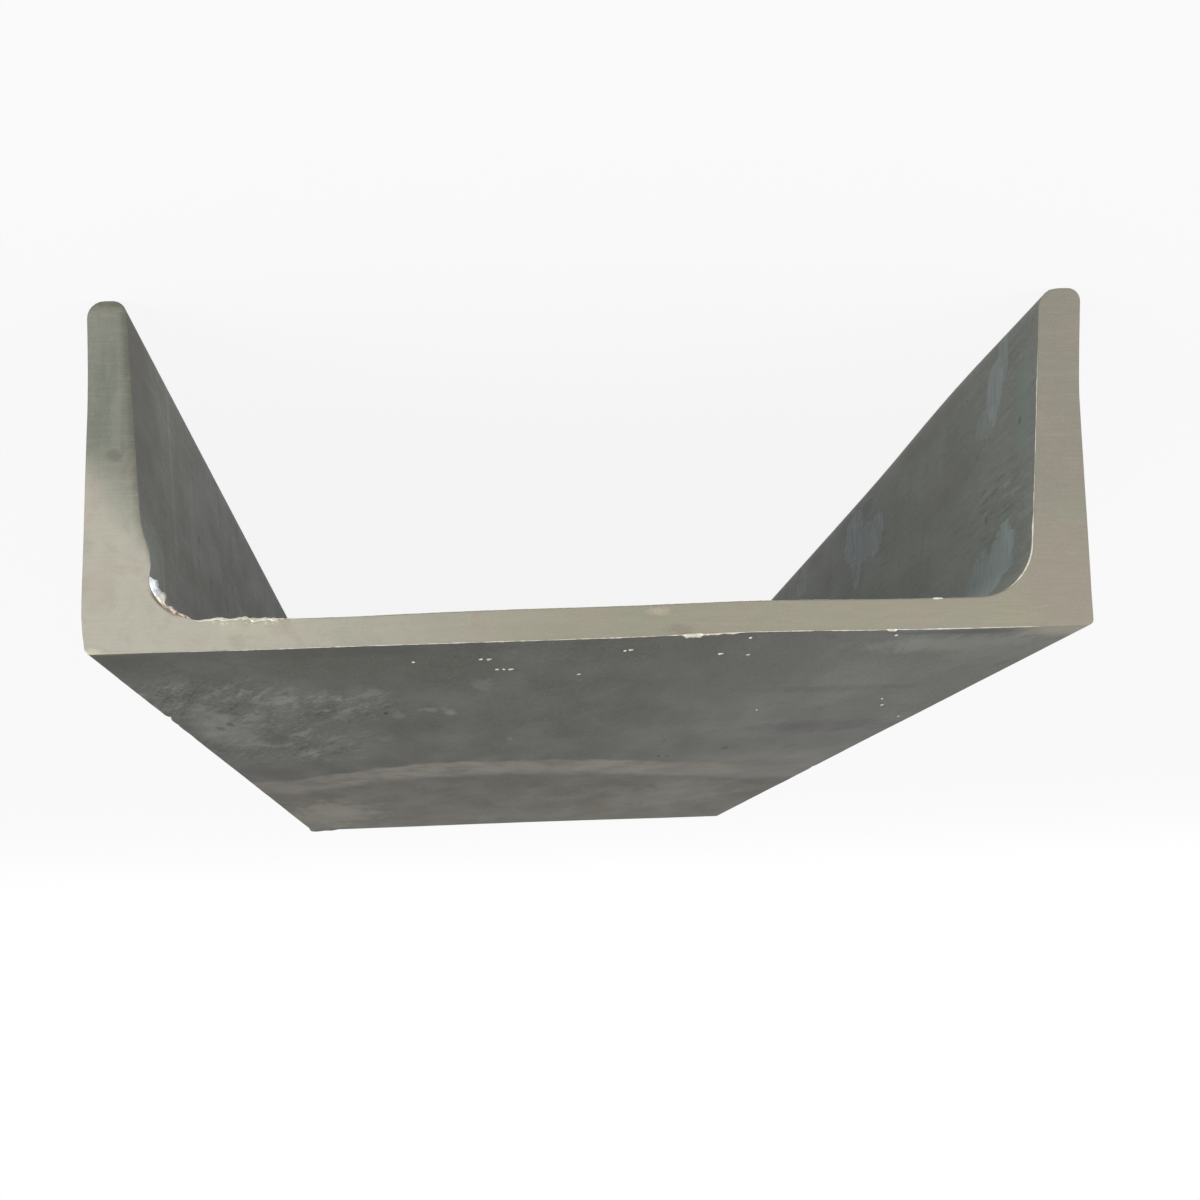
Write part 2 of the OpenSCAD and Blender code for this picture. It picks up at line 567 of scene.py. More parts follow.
def burrs_and_chips(bright):
    strip = section()
    loop = np.array([strip[pair] for pair in loop_indices(strip)])
    normals = outward(loop)
    ridges = [burr_ridge(loop, normals, burr, seed) for seed, burr in enumerate(BURRS)]
    points, faces = merged(ridges)
    burrs = mesh_object("saw_burrs", points, faces, [bright])
    burrs.data.polygons.foreach_set("use_smooth", [True] * len(burrs.data.polygons))
    dress(burrs)

    back = loop[loop[:, 1] > 0.95 * loop[:, 1].max()]
    back = back[np.argsort(back[:, 0])]
    flakes = []
    for seed, (x, from_end, length) in enumerate(CHIPS):
        top = float(np.interp(x * MM, back[:, 0], back[:, 1]))
        top += relief(Vector((x * MM, -HALF_LENGTH + from_end * MM, top)))
        flakes.append(chip(x, from_end, length, top, seed))
    points, faces = merged(flakes)
    chips = mesh_object("saw_chips", points, faces, [bright])
    dress(chips)


# ---------------------------------------------------------------- nodes for the materials
def colour(red, green, blue):
    """A screen colour, 0 to 255 a channel, as the linear colour that a shader takes."""
    def linear(value):
        value /= 255
        return value / 12.92 if value <= 0.04045 else ((value + 0.055) / 1.055) ** 2.4
    return (linear(red), linear(green), linear(blue), 1.0)


class Nodes:
    """Short calls that add nodes to one material or world."""

    def __init__(self, owner):
        owner.use_nodes = True
        self.owner = owner
        self.tree = owner.node_tree
        self.tree.nodes.clear()

    def add(self, kind, sockets, **settings):
        """A node of that kind with its settings. Each of its sockets gets a value or a link from another."""
        node = self.tree.nodes.new(kind)
        for name, value in settings.items():
            setattr(node, name, value)
        for name, value in sockets.items():
            if isinstance(value, bpy.types.NodeSocket):
                self.tree.links.new(value, node.inputs[name])
            else:
                node.inputs[name].default_value = value
        return node

    def math(self, operation, first, second=0.0):
        return self.add("ShaderNodeMath", {0: first, 1: second}, operation=operation).outputs["Value"]

    def blend(self, share, first, second):
        """From the first shader to the second as share goes from 0 to 1."""
        return self.add("ShaderNodeMixShader", {"Fac": share, 1: first, 2: second}).outputs[0]

    def seen_ray(self):
        """1 for rays from the camera, and for those that gloss or glass send on."""
        path = self.add("ShaderNodeLightPath", {}).outputs
        seen = self.math("MAXIMUM", path["Is Camera Ray"], path["Is Glossy Ray"])
        return self.math("MAXIMUM", seen, path["Is Transmission Ray"])


class Graph(Nodes):
    """Short calls for one of the part's materials. Sizes are in millimetres on the part."""

    def __init__(self, name):
        super().__init__(bpy.data.materials.new(name))
        self.coords = self.add("ShaderNodeTexCoord", {}).outputs["Object"]
        self.x, self.y, self.z = self.add("ShaderNodeSeparateXYZ", {"Vector": self.coords}).outputs
        self.wobbles = {}

    def mapped(self, scale, shift=(0, 0, 0), turn=0.0):
        """The object's coordinates, turned about Y by degrees, scaled and shifted."""
        rotation = (0, math.radians(turn), 0)
        sockets = {"Vector": self.coords, "Scale": scale, "Location": shift, "Rotation": rotation}
        return self.add("ShaderNodeMapping", sockets).outputs["Vector"]

    def slanted(self, sizes, degrees):
        """The object's coordinates, turned about Z by degrees and then divided by the sizes."""
        sockets = {"Vector": self.coords, "Scale": sizes, "Rotation": (0, 0, math.radians(degrees))}
        return self.add("ShaderNodeMapping", sockets, vector_type="TEXTURE").outputs["Vector"]

    def noise(self, size, detail, rough, stretch=(1, 1, 1), seed=0, bend=0.0, turn=0.0, slant=0.0):
        """Noise from 0 to 1, with lumps of about that size, stretched by as much along each axis."""
        if slant:
            place = self.slanted(tuple(size * MM * s for s in stretch), slant)
        else:
            scale = tuple(1 / (size * MM * s) for s in stretch)
            place = self.mapped(scale, (seed * 7.3, seed * 3.1, seed * 5.7), turn)
        sockets = {"Vector": place, "Scale": 1, "Detail": detail, "Roughness": rough, "Distortion": bend}
        return self.add("ShaderNodeTexNoise", sockets).outputs["Fac"]

    def levels(self, value, low, high, to_low=0.0, to_high=1.0):
        """Value stretched from low..high to to_low..to_high, smooth at both ends."""
        sockets = {"Value": value, "From Min": low, "From Max": high, "To Min": to_low, "To Max": to_high}
        return self.add("ShaderNodeMapRange", sockets, interpolation_type="SMOOTHSTEP").outputs["Result"]

    def ramp(self, value, low, high, to_low=0.0, to_high=1.0):
        """Levels whose low and high are in millimetres."""
        return self.levels(value, low * MM, high * MM, to_low, to_high)

    def times(self, first, second):
        return self.math("MULTIPLY", first, second)

    def plus(self, first, second):
        return self.math("ADD", first, second)

    def length(self, vector):
        return self.add("ShaderNodeVectorMath", {0: vector}, operation="LENGTH").outputs["Value"]

    def wobble(self, size):
        """Noise round 0 that makes the edge of a patch ragged. Patches of one graph share it."""
        if size not in self.wobbles:
            raw = self.noise(size, 4, 0.65, stretch=(1, ROLLED, 1), seed=size, bend=0.8)
            self.wobbles[size] = self.plus(raw, -0.5)
        return self.wobbles[size]

    def spot(self, centre, reach, ragged=0.0, size=6, soft=0.3):
        """1 at the centre, falling to 0 at the edge of an ellipsoid whose half axes are reach."""
        scale = tuple(1 / (r * MM) for r in reach)
        shift = tuple(-c / r for c, r in zip(centre, reach))
        distance = self.length(self.mapped(scale, shift))
        if ragged:
            distance = self.plus(distance, self.times(self.wobble(size), ragged))
        return self.levels(distance, 1.0, soft)

    def mix(self, share, first, second):
        """From the first tone to the second as share goes from 0 to 1. A tone is a socket, or a paint as
        red, green and blue up to 255."""
        tones = [colour(*tone) if isinstance(tone, tuple) else tone for tone in (first, second)]
        return self.add("ShaderNodeMix", {0: share, 6: tones[0], 7: tones[1]}, data_type="RGBA").outputs[2]

    def cover(self, tone, mask, share, paint):
        """A tone with a paint over it where mask is 1, covering it by share."""
        return self.mix(self.times(mask, share), tone, paint)

    def marbled(self, tone, value, gap, reach, share, light, dark):
        """A tone made lighter where value is above 0.5 and darker where it is below: not at all up to gap
        away from 0.5, and by share from reach away."""
        tone = self.mix(self.levels(value, 0.5 + gap, 0.5 + reach, 0, share), tone, light)
        return self.mix(self.levels(value, 0.5 - gap, 0.5 - reach, 0, share), tone, dark)

    def bump(self, height, distance, under=None):
        """Bump whose height runs over distance, from 0 to 1, on top of the bump under it."""
        sockets = {"Height": height, "Distance": distance * MM}
        if under is not None:
            sockets["Normal"] = under
        return self.add("ShaderNodeBump", sockets).outputs["Normal"]

    def finish(self, tone, roughness, normal, metallic, specular):
        sockets = {"Base Color": tone, "Roughness": roughness, "Normal": normal}
        sockets.update({"Metallic": metallic, "Specular IOR Level": specular})
        shader = self.add("ShaderNodeBsdfPrincipled", sockets).outputs["BSDF"]
        self.add("ShaderNodeOutputMaterial", {"Surface": shader})
        return self.owner


# ---------------------------------------------------------------- materials
# Places on the part are in millimetres: x, the distance from the near sawn end, and z.
NEAR_END = -HALF_LENGTH / MM
TOP = CAD_HIGH.z / MM
# Marks in the scale are this many times longer along the piece than across it, because it was rolled that way
ROLLED = 4
# The overlapping patches of crumpled web, in millimetres: x, distance from the near end, reach each way
CRUMPLES = ((96, 90, 26, 92), (76, 122, 42, 62), (86, 215, 38, 88), (74, 222, 24, 48))
# How many degrees the folds of the crumpled patch slant from the piece's length
FOLD_SLANT = -15
# Bluish rubs on the trough side of the flange at -X, in millimetres: the distance from the near end, z, the
# reach each way, and how strongly it covers
RUBS = (
    (31, 7, 5, 8, 0.35), (39, 14, 8, 8, 0.5), (47, 20, 12, 4, 0.3),
    (231, 13, 18, 9, 1.0), (208, 19, 20, 7, 0.8), (190, 20, 12, 8, 1.0), (222, 24, 10, 8, 1.0),
    (340, 10, 14, 6, 0.5),
)
# Thin teal films on the same face, near the root: the distance from the near end, z and the reach each way
FILMS = ((45, 60, 27, 9.5), (28, 55, 15, 8))
# The root's arc in the sawn face at +X, in millimetres: its centre and radius
ROOT_ARC = ((83.6, 57.9), 13.2)


def patches(g, tone, place, rows):
    """Lays patches over a tone. A row is what place takes, the paint, how strongly it covers and how ragged
    its edge is."""
    for *where, paint, share, ragged in rows:
        (x, from_end, z), reach = place(*where)
        size = 4 if reach[1] < 30 else 10
        tone = g.cover(tone, g.spot((x, NEAR_END + from_end, z), reach, ragged, size), share, paint)
    return tone


def on_web(x, from_end, reach_x, reach_y):
    """The place and reach of a patch on the back of the web."""
    return (x, from_end, TOP), (reach_x, reach_y, 10)


def on_flange(side, from_end, z, reach_y, reach_z):
    """The place and reach of a patch on the trough side of a flange."""
    return (side * 101, from_end, z), (10, reach_y, reach_z)


def scale_tone(g, tone, dark, light, strength=1.0):
    """Mill scale's soft clouds, blotches and fine speckle over a tone."""
    along = (1, ROLLED, 1)
    clouds = g.noise(30, 5, 0.6, stretch=along, seed=1, bend=0.3)
    blotches = g.noise(5, 5, 0.68, stretch=along, seed=2, bend=0.3)
    speckle = g.noise(0.7, 3, 0.7, stretch=(1, 3, 1), seed=3)
    tone = g.marbled(tone, clouds, 0, 0.25, 0.3 * strength, light, dark)
    tone = g.marbled(tone, blotches, 0.02, 0.24, 0.5 * strength, light, dark)
    return g.marbled(tone, speckle, 0, 0.2, 0.5, light, dark)


def scale_normal(g, depth):
    """Rolled-in texture, pits and fine grain."""
    along = (1, ROLLED, 1)
    skin = g.noise(3.5, 5, 0.6, stretch=along, seed=11, bend=0.6)
    pits = g.levels(g.noise(1.8, 2, 0.5, stretch=(1, 2, 1), seed=12), 0.34, 0.26)
    grain = g.noise(0.5, 2, 0.5, stretch=(1, 2, 1), seed=13)
    normal = g.bump(skin, 0.16 * depth)
    normal = g.bump(g.math("SUBTRACT", 1.0, pits), 0.08 * depth, normal)
    return g.bump(grain, 0.025 * depth, normal)


def crumple(g):
    """Where the web's back is crumpled, from 0 to 1, and the slanting folds there, as noise from 0 to 1."""
    area = None
    for x, from_end, reach_x, reach_y in CRUMPLES:
        more = g.spot((x, NEAR_END + from_end, TOP), (reach_x, reach_y, 14), 1.0, 10, soft=0.45)
        area = more if area is None else g.math("MAXIMUM", area, more)
    large = g.noise(7.5, 4, 0.62, stretch=(1, 5, 1), bend=0.4, slant=FOLD_SLANT)
    small = g.noise(2.8, 4, 0.68, stretch=(1, 6, 1), bend=0.3, slant=FOLD_SLANT)
    return area, g.plus(g.times(large, 0.55), g.times(small, 0.45))


def crumpled_tone(g, tone, area, folds):
    """Pale smears and dark pits where the web's back is crumpled, with painted light on the folds'
    crests and painted shade in their creases.
    """
    soft = g.noise(18, 4, 0.6, stretch=(1, 3, 1), seed=9)
    fine = g.noise(0.9, 3, 0.7, stretch=(1, 4, 1), slant=FOLD_SLANT)
    clusters = g.levels(soft, 0.40, 0.56, 0.15, 1.0)
    tone = g.cover(tone, g.times(area, clusters), 0.5, (102, 103, 99))
    # Painted light and shade: the folds that the bump raises are painted paler along their crests and darker
    # along their creases.
    pale = g.times(g.levels(folds, 0.49, 0.59), clusters)
    tone = g.cover(tone, g.times(area, pale), 0.9, (130, 132, 126))
    dark = g.levels(folds, 0.47, 0.38)
    tone = g.cover(tone, g.times(area, dark), 0.85, (68, 68, 63))
    tone = g.marbled(tone, fine, 0, 0.2, g.times(area, 0.55), (132, 133, 128), (62, 62, 57))
    pits = g.levels(g.noise(2.2, 4, 0.75, stretch=(1, 3, 1), seed=5, bend=0.3), 0.34, 0.28)
    return g.cover(tone, g.times(area, pits), 0.9, (48, 46, 41))


def band_tone(g, tone):
    """A paler, pinkish band across the web at mid length, bowed towards the near end, and beyond it a darker,
    greener stretch, painted shade along the band's edge, then a browner one."""
    off_middle = g.plus(g.x, -24 * MM)
    to_plus = g.math("MAXIMUM", off_middle, 0.0)
    to_minus = g.math("MINIMUM", off_middle, 0.0)
    bow = g.plus(g.times(g.times(to_plus, to_plus), 12.0), g.times(g.times(to_minus, to_minus), 5.0))
    along = g.math("SUBTRACT", g.plus(g.y, HALF_LENGTH), g.math("MINIMUM", bow, 60 * MM))
    uneven = g.plus(g.noise(12, 5, 0.62, stretch=(1, 2, 1), seed=6), -0.5)
    along = g.plus(along, g.times(uneven, 30 * MM))
    past = g.ramp(along, 298, 310)
    beyond = g.ramp(along, 350, 378)
    band = g.times(past, g.math("SUBTRACT", 1.0, beyond))
    patchy = g.levels(g.noise(15, 5, 0.65, stretch=(1, 2, 1), seed=7), 0.34, 0.6, 0.5, 1.0)
    patchy = g.times(patchy, g.ramp(g.z, 20, 72, 0.25, 1.0))
    fading = g.times(g.ramp(g.x, 96, 70, 0.8, 1.0), g.ramp(g.x, -92, -66, 0.5, 1.0))
    # Painted shade: just past the band the web is painted darker, as the shade along the band's edge, and it
    # turns paler and browner further on.
    tone = g.cover(tone, beyond, 0.8, (95, 94, 86))
    tone = g.mix(g.times(beyond, g.ramp(along, 420, 660)), tone, (113, 110, 101))
    tone = g.mix(beyond, tone, scale_tone(g, tone, (82, 79, 71), (124, 121, 113), 0.6))
    return g.mix(g.times(g.times(band, patchy), fading), tone, (135, 130, 121))


def back_scale():
    """The scale on the back of the web and of the flanges: dark warm grey, paler and bluer towards -X,
    crumpled at one corner, with a paler band across the web at mid length."""
    g = Graph("scale_outside")
    tone = g.mix(g.ramp(g.x, 0, -80), (88, 88, 81), (114, 114, 109))
    tone = scale_tone(g, tone, (74, 73, 68), (110, 109, 103), 0.6)
    area, folds = crumple(g)
    tone = crumpled_tone(g, tone, area, folds)
    tone = band_tone(g, tone)
    pale = (122, 123, 119)
    black = (50, 49, 45)
    tone = patches(g, tone, on_web, (
        # The first patch is painted shade: a darker strip on the web's back along the sawn edge at +X, as the
        # shade under the burr there.
        (62, 8, 62, 14, (76, 76, 72), 0.7, 0.5),
        (96, 32, 28, 40, (78, 77, 71), 0.7, 1.2),
        (98, 165, 13, 66, (128, 129, 124), 0.55, 1.6),
        (95, 325, 34, 36, (84, 83, 79), 0.9, 1.0),
        (84, 196, 6, 20, (74, 73, 68), 0.7, 2.0),
        (-70, 108, 30, 9, (92, 92, 91), 0.6, 1.8),
        (-84, 212, 38, 26, (92, 91, 90), 0.85, 1.0),
        (-45, 265, 44, 50, (95, 95, 92), 0.5, 1.2),
        (-86, 25, 30, 18, (136, 136, 129), 0.8, 1.8),
        (-84, 330, 26, 34, (126, 123, 114), 0.6, 1.4),
        (-98, 40, 18, 18, (116, 116, 111), 0.7, 1.4),
        (-84, 5, 26, 5, (86, 86, 82), 0.85, 0.9),
        (-107, 2, 18, 20, (166, 161, 148), 1.0, 0.5),
        (106, 1, 9, 2.5, (116, 98, 80), 0.9, 0.6),
        (-98, 385, 20, 26, (119, 117, 111), 0.8, 1.4),
        (-66, 520, 34, 110, (132, 129, 118), 0.65, 1.4),
        (-86, 340, 18, 10, (114, 111, 106), 0.8, 1.4),
        (98, 364, 16, 9, (110, 107, 103), 0.8, 1.2),
        (90, 570, 30, 120, (142, 138, 127), 0.75, 1.6),
        (42, 600, 30, 70, (106, 99, 91), 0.45, 1.6),
        (-40, 600, 8, 90, (114, 108, 97), 0.5, 2.0),
        (65.5, 122, 1.6, 4, pale, 0.9, 1.5),
        (37, 130, 4.5, 8, pale, 0.8, 2.6),
        (32.5, 138, 2.4, 9, pale, 0.9, 2.2),
        (24, 78, 3.5, 14, (110, 110, 106), 0.8, 2.4),
        (13.5, 222, 1.8, 9, pale, 0.7, 2.0),
        (46.5, 142, 2.6, 14, pale, 0.6, 2.4),
        (49.8, 135, 0.9, 7, black, 0.9, 1.0),
        (92, 120, 2.0, 7, black, 0.5, 3.6),
        (94, 150, 1.4, 8, black, 0.7, 3.4),
        (98, 160, 1.5, 6, black, 0.6, 3.4),
        (-41.5, 305, 0.9, 6, black, 0.9, 1.0),
        (-44.5, 306, 1.2, 4, black, 0.6, 1.2),
        (-38, 247, 0.8, 4, black, 0.6, 1.0),
        (-62.5, 281, 1.2, 6, black, 0.6, 1.2),
    ))
    rough = g.levels(g.noise(15, 4, 0.6, stretch=(1, ROLLED, 1), seed=8), 0.25, 0.75, 0.66, 0.84)
    normal = g.bump(g.times(area, folds), 0.5, scale_normal(g, 1.0))
    return g.finish(tone, rough, normal, metallic=0.0, specular=0.2)


def trough_scale():
    """The scale inside the trough: smoother, greener grey, with bluish rubs on the flange at -X and a
    browner stretch near the end of the one at +X."""
    g = Graph("scale_inside")
    at_plus = g.ramp(g.x, -20, 20)
    along = g.plus(g.y, HALF_LENGTH)
    # Painted light: the trough is painted paler than the back, partly its own paler tone and partly painted
    # light against the shade inside the trough. It is painted paler still towards the root, deeper along the
    # trough and along the middle at -X, as painted light where that shade is deepest.
    painted_light_root_side = g.mix(g.ramp(along, 10, 90), (122, 126, 117), (150, 156, 144))
    minus = g.mix(g.ramp(g.z, 5, 55), (114, 117, 108), painted_light_root_side)
    tone = g.mix(at_plus, minus, (105, 107, 97))
    painted_light_depth = g.ramp(along, 60, 250)
    painted_light_deep_tone = g.mix(at_plus, (150, 156, 144), (142, 147, 136))
    tone = g.mix(g.times(painted_light_depth, 0.8), tone, painted_light_deep_tone)
    middle = g.times(g.ramp(along, 40, 130), g.ramp(along, 380, 230))
    middle = g.times(middle, g.ramp(g.x, 20, -20, 0, 0.55))
    tone = g.mix(middle, tone, (178, 184, 172))
    tone = scale_tone(g, tone, (98, 99, 90), (142, 148, 137), 0.18)
    drawn = g.noise(13, 3, 0.55, stretch=(1, 1, 6), seed=24, bend=0.3)
    drawn_share = g.ramp(g.x, -20, 20, 0.12, 0.55)
    tone = g.marbled(tone, drawn, 0, 0.18, drawn_share, (136, 143, 130), (86, 83, 75))
    scratched = g.noise(2.6, 4, 0.6, stretch=(1, 1, 9), seed=25, bend=0.2)
    scratched_share = g.times(drawn_share, 0.36)
    tone = g.marbled(tone, scratched, 0.02, 0.2, scratched_share, (140, 146, 136), (84, 84, 78))
    lines = g.noise(1.3, 4, 0.62, stretch=(1, 12, 1), seed=26, bend=0.2)
    wrinkled = g.spot((-101, NEAR_END + 38, 42), (10, 34, 12), 0.8, 4)
    lined = g.plus(0.22, g.times(wrinkled, 0.5))
    tone = g.marbled(tone, lines, 0.02, 0.16, lined, (160, 166, 156), (84, 86, 79))
    teal = (116, 131, 125)
    brown = (92, 84, 73)
    black = (50, 50, 46)
    tone = patches(g, tone, on_flange, (
        (-1, 12, 24, 10, 18, teal, 0.6, 0.9),
        (-1, 110, 4, 60, 9, (118, 117, 105), 0.7, 1.2),
        (-1, 95, 26, 46, 10, (114, 112, 102), 0.4, 1.2),
        (-1, 212, 17, 30, 13, (184, 193, 188), 0.6, 1.4),
        (-1, 205, 8, 12, 5, brown, 0.7, 1.8),
        (-1, 14.6, 27.0, 1.5, 1.3, black, 0.7, 1.2),
        (-1, 44.6, 44.3, 1.8, 1.0, black, 0.6, 1.2),
        (-1, 55.3, 26.5, 1.6, 0.9, black, 0.5, 1.2),
        (1, 14, 22, 42, 44, (58, 55, 42), 0.9, 0.7),
        (1, 112, 38.5, 4, 2.4, black, 0.9, 1.6),
        (1, 117, 31, 3, 1.8, black, 0.8, 1.6),
        (1, 140, 39, 3, 1.6, black, 0.8, 1.4),
        (1, 155, 29, 3, 1.8, black, 0.6, 1.4),
        (1, 299, 23.5, 6, 1.8, black, 0.8, 1.2),
    ))
    fibres = g.levels(g.noise(2.2, 5, 0.65, stretch=(1, 1, 3.5), seed=21, bend=0.4), 0.44, 0.55, 0.5, 1.0)
    film = g.levels(fibres, 0.5, 1.0, 0.65, 1.0)
    for from_end, z, reach_y, reach_z in FILMS:
        rub = g.spot((-101, NEAR_END + from_end, z), (10, reach_y, reach_z), 1.5, 4, 0.75)
        tone = g.mix(g.times(rub, film), tone, (160, 175, 171))
    # Painted light: the rubs are painted brighter deeper along the trough, against the shade there.
    rubbed = g.mix(painted_light_depth, (170, 185, 189), (238, 248, 255))
    for from_end, z, reach_y, reach_z, share in RUBS:
        rub = g.spot((-101, NEAR_END + from_end, z), (10, reach_y, reach_z), 1.0, 4, 0.8)
        tone = g.mix(g.times(g.times(rub, fibres), share), tone, rubbed)
    specks = g.levels(g.noise(2.6, 2, 0.5, stretch=(1, 2, 1), seed=22), 0.25, 0.20)
    tone = g.cover(tone, specks, 0.6, (54, 54, 50))
    rough = g.levels(g.noise(10, 4, 0.6, stretch=(1, ROLLED, 1), seed=23), 0.25, 0.75, 0.51, 0.57)
    return g.finish(tone, rough, scale_normal(g, 0.3), metallic=0.0, specular=0.3)


def within_root(g, margin):
    """1 inside the circle of the root at +X, and to a margin in millimetres beyond it."""
    (x, z), radius = ROOT_ARC
    return g.spot((x, NEAR_END, z), (radius + margin, 60, radius + margin), soft=0.98)


def sawn_steel():
    """Pale warm steel with a fine grain and faint saw lines, brighter round the root at +X and dull green
    towards that toe."""
    g = Graph("sawn_steel")
    tone = g.mix(g.ramp(g.x, -10, 92), (162, 157, 140), (190, 186, 172))
    minus_flange = g.times(g.ramp(g.x, -55, -105), g.ramp(g.z, 72, 40))
    tone = g.mix(minus_flange, tone, (152, 146, 134))

    in_plus_flange = g.ramp(g.x, 84, 90)
    slant = g.plus(g.z, g.times(g.plus(g.x, -95 * MM), 1.1))
    uneven = g.times(g.plus(g.noise(7, 3, 0.5, seed=35), -0.5), 12 * MM)
    dull = g.times(in_plus_flange, g.ramp(g.plus(slant, uneven), 62, 42))
    streak = g.levels(g.noise(2.4, 3, 0.5, stretch=(1, 1, 7), seed=36), 0.38, 0.62)
    tone = g.mix(dull, tone, g.mix(streak, (127, 131, 118), (137, 139, 129)))
    tone = g.mix(g.times(dull, g.ramp(g.z, 16, 4, 0, 0.4)), tone, (150, 152, 142))
    from_inside = g.plus(g.x, g.plus(g.times(g.z, 0.066), -100.6 * MM))
    rim = g.math("MAXIMUM", g.ramp(from_inside, 2.4, 0), g.ramp(g.z, 3.2, 0.8))
    tone = g.cover(tone, g.times(dull, rim), 0.8, (98, 100, 86))

    hue = g.noise(9, 4, 0.6, seed=31, bend=0.6)
    tone = g.marbled(tone, hue, 0, 0.25, 0.45, (168, 155, 141), (152, 158, 138))
    for (x, z), (reach_x, reach_z), paint, share in (
        ((-18.5, 75.8), (4.0, 1.8), (128, 121, 112), 0.4),
        ((-14.0, 71.5), (3.4, 1.3), (200, 184, 164), 0.55),
        ((107.6, 77.4), (2.6, 0.9), (216, 209, 188), 0.7),
        ((103.0, 34.8), (2.2, 2.0), (112, 112, 102), 0.65),
        ((-104.0, 68.0), (13.0, 15.0), (160, 149, 137), 0.6),
        ((-92.0, 74.0), (10.0, 5.0), (164, 159, 139), 0.5),
        ((76.0, 73.5), (9.0, 1.8), (200, 194, 172), 0.5),
    ):
        mask = g.spot((x, NEAR_END, z), (reach_x, 6, reach_z), 1.4, 2)
        tone = g.cover(tone, mask, share, paint)

    rim = g.times(within_root(g, 0.9), g.spot((92.5, NEAR_END, 67.5), (5.5, 6, 5.5), 0.6, 2))
    tone = g.cover(tone, rim, 0.75, (118, 106, 90))
    lip = g.spot((95.6, NEAR_END, 54), (1.0, 6, 6), 0.4, 2)
    tone = g.cover(tone, lip, 0.5, (146, 134, 120))
    smeared = g.spot((75, NEAR_END, 71.4), (14, 6, 1.6), 0.5, 2)
    bits = g.levels(g.noise(1.1, 4, 0.7, seed=38), 0.50, 0.60)
    tone = g.mix(g.times(smeared, bits), tone, (224, 217, 195))

    grain = g.noise(0.45, 3, 0.7, seed=37)
    fine = g.noise(0.30, 3, 0.6, stretch=(16, 1, 1), seed=32, turn=3)
    broad = g.noise(2.2, 3, 0.55, stretch=(18, 1, 1), seed=33, turn=2)
    pale = (204, 199, 184)
    dark = (122, 118, 104)
    tone = g.marbled(tone, grain, 0, 0.3, 0.22, pale, dark)
    tone = g.marbled(tone, fine, 0, 0.28, 0.12, pale, dark)
    tone = g.mix(g.levels(broad, 0.5, 0.78, 0, 0.12), tone, (190, 186, 172))
    rough = g.levels(g.noise(2.0, 3, 0.6, stretch=(12, 1, 1), seed=34), 0.25, 0.75, 0.42, 0.56)
    normal = g.bump(broad, 0.02)
    normal = g.bump(fine, 0.012, normal)
    return g.finish(tone, rough, normal, metallic=0.45, specular=0.4)


def bright_steel():
    """Freshly torn burr and swarf: bright, a little yellow, and brown in the root at +X."""
    g = Graph("bright_steel")
    torn = g.noise(1.6, 4, 0.6, seed=41)
    tone = g.mix(g.levels(torn, 0.35, 0.65), (232, 231, 222), (206, 199, 178))
    # Painted reflection: the fold in the root at +X is bright torn steel, painted near-white and bluish as
    # the reflection of the bright surround on it.
    fold_glint = g.spot((95.2, NEAR_END, 63.0), (4.6, 6, 5.2), 0.3, 2)
    shine = g.levels(g.noise(1.2, 3, 0.6, seed=43), 0.38, 0.56)
    tone = g.mix(fold_glint, tone, g.mix(shine, (196, 203, 207), (246, 250, 252)))
    brown_tail = g.spot((89.5, NEAR_END, 69.5), (5.0, 6, 3.4), 0.5, 2)
    mottled = g.levels(g.noise(1.0, 3, 0.6, seed=44), 0.44, 0.56)
    tone = g.mix(brown_tail, tone, g.mix(mottled, (124, 108, 90), (228, 212, 197)))
    rim = g.times(g.math("SUBTRACT", 1.0, within_root(g, 0.1)), g.spot((93, NEAR_END, 67), (6, 6, 6)))
    tone = g.cover(tone, rim, 0.85, (134, 120, 102))
    far = g.levels(g.y, -0.5 * HALF_LENGTH, 0.5 * HALF_LENGTH)
    tone = g.mix(far, tone, (106, 103, 94))
    normal = g.bump(g.noise(0.6, 3, 0.6, seed=42), 0.05)
    rough = g.levels(torn, 0.3, 0.7, 0.22, 0.4)
    return g.finish(tone, rough, normal, metallic=0.8, specular=0.5)


# ---------------------------------------------------------------- the studio
WORLD_LIGHT = 0.465
FLOOR_GLOW = 0.9
FLOOR_COLOUR = (0.85, 0.85, 0.85, 1)
FLOOR_REACH = 12
EYE = Vector((30.8, -810.1, 142.2)) * MM
EYE_TURN = math.radians(3.98)
EYE_DIP = math.radians(-9.04)
EYE_ROLL = math.radians(178.03)
LENS = 64.5
SENSOR = 36
# The floor lies this far under the toes, in millimetres, and is fully white between these distances in metres
FLOOR_DROP = 0.1
FLOOR_WHITE = (0.6, 4.0)
# Lamps are squares of this size in metres that face the aim: the name, place and power in watts
LAMP_SIZE = 1.3
LAMP_AIM = Vector((0, -0.3, 0.04))
LAMPS = (("key", Vector((1.3, -1.7, 0.9)), 12.2), ("fill", Vector((-1.3, -1.5, 0.5)), 8.9))


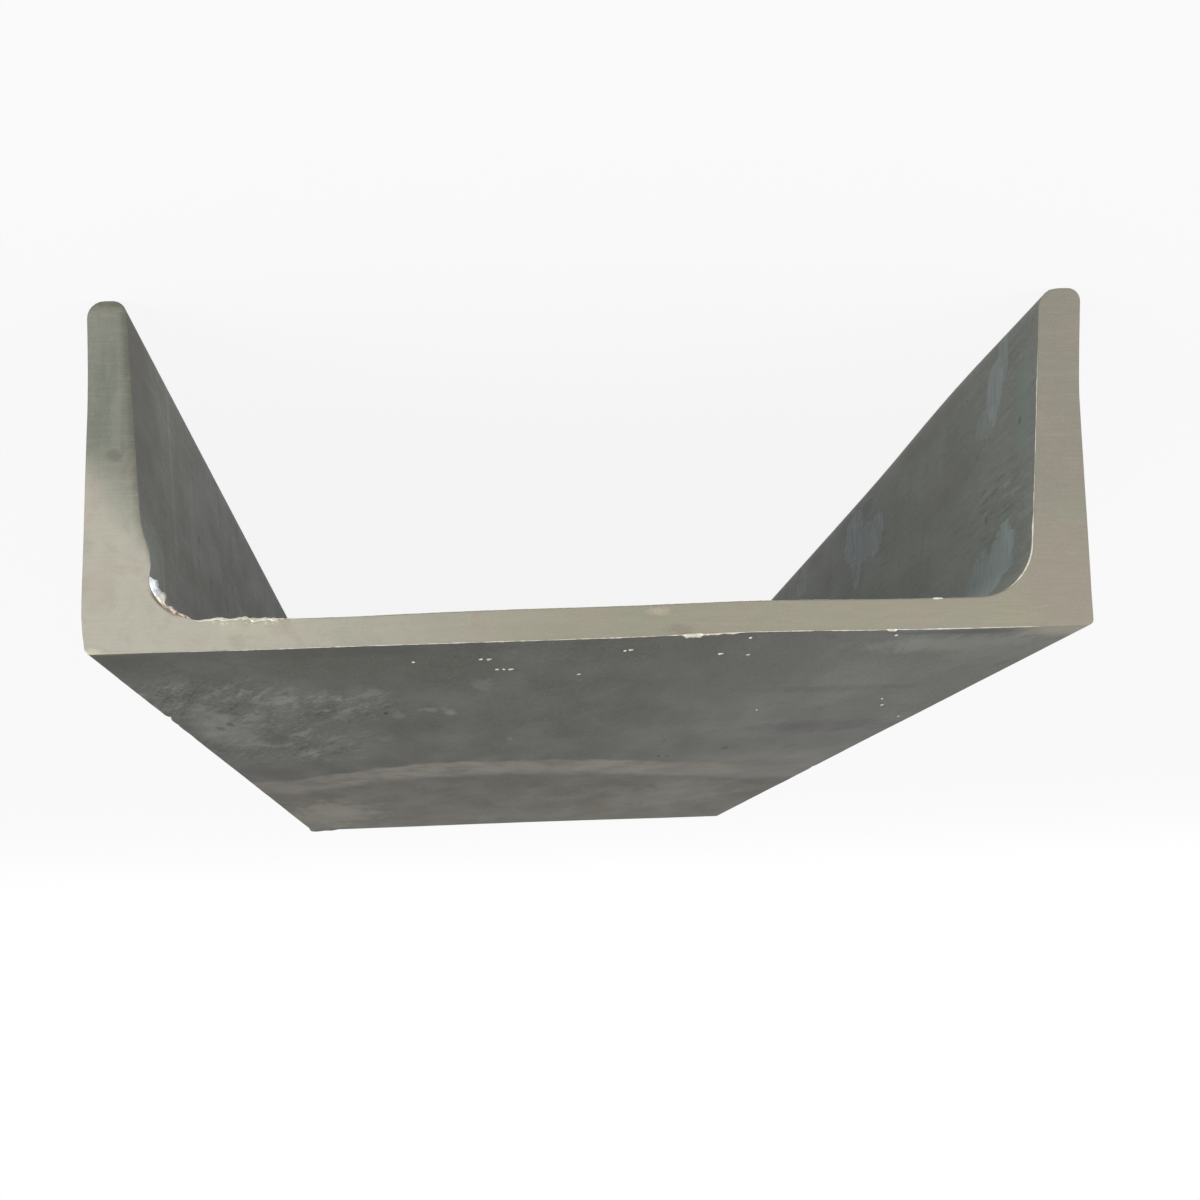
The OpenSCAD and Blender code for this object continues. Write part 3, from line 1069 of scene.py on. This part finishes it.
def surround():
    """A plain soft light from all round, which shows as white."""
    world = bpy.data.worlds.new("surround")
    bpy.context.scene.world = world
    n = Nodes(world)
    light, seen = (n.add("ShaderNodeBackground", {"Color": (1, 1, 1, 1), "Strength": strength}).outputs[0]
                   for strength in (WORLD_LIGHT, 1.0))
    n.add("ShaderNodeOutputWorld", {"Surface": n.blend(n.seen_ray(), light, seen)})


def floor_paint():
    """Pale floor that shows as nearly white, keeps a soft shadow and has no visible horizon."""
    g = Graph("floor_paint")
    paint = g.add("ShaderNodeBsdfDiffuse", {"Color": FLOOR_COLOUR}).outputs[0]
    glow = g.add("ShaderNodeEmission", {"Strength": 1}).outputs[0]
    share = g.levels(g.length(g.coords), *FLOOR_WHITE, FLOOR_GLOW, 1.0)
    shader = g.blend(g.times(g.seen_ray(), share), paint, glow)
    g.add("ShaderNodeOutputMaterial", {"Surface": shader})
    return g.owner


def floor():
    corners = [(x * FLOOR_REACH, y * FLOOR_REACH, 0) for x, y in ((-1, -1), (1, -1), (1, 1), (-1, 1))]
    made = mesh_object("floor", corners, [(0, 1, 2, 3)], [floor_paint()])
    made.location.z = -FLOOR_DROP * MM


def lamps():
    for name, place, watts in LAMPS:
        data = bpy.data.lights.new(name, "AREA")
        data.shape = "SQUARE"
        data.size = LAMP_SIZE
        data.energy = watts
        made = bpy.data.objects.new(name, data)
        made.location = place
        made.rotation_euler = (LAMP_AIM - place).to_track_quat("-Z", "Y").to_euler()
        bpy.context.scene.collection.objects.link(made)


def camera():
    """In front of the near end and a little above it. It is upside down, because the photograph shows
    the piece lying on its web, and here it stands on its toes."""
    data = bpy.data.cameras.new("camera")
    data.sensor_width = SENSOR
    data.lens = LENS
    made = bpy.data.objects.new("camera", data)
    aim = Matrix.Rotation(EYE_TURN, 4, "Z") @ Matrix.Rotation(math.pi / 2 + EYE_DIP, 4, "X")
    made.matrix_world = Matrix.Translation(EYE) @ aim @ Matrix.Rotation(EYE_ROLL, 4, "Z")
    bpy.context.scene.collection.objects.link(made)
    bpy.context.scene.camera = made


def studio():
    surround()
    floor()
    lamps()
    camera()
    bpy.context.scene.view_settings.view_transform = "Standard"


channel_mesh(trough_scale(), back_scale(), sawn_steel())
burrs_and_chips(bright_steel())
studio()
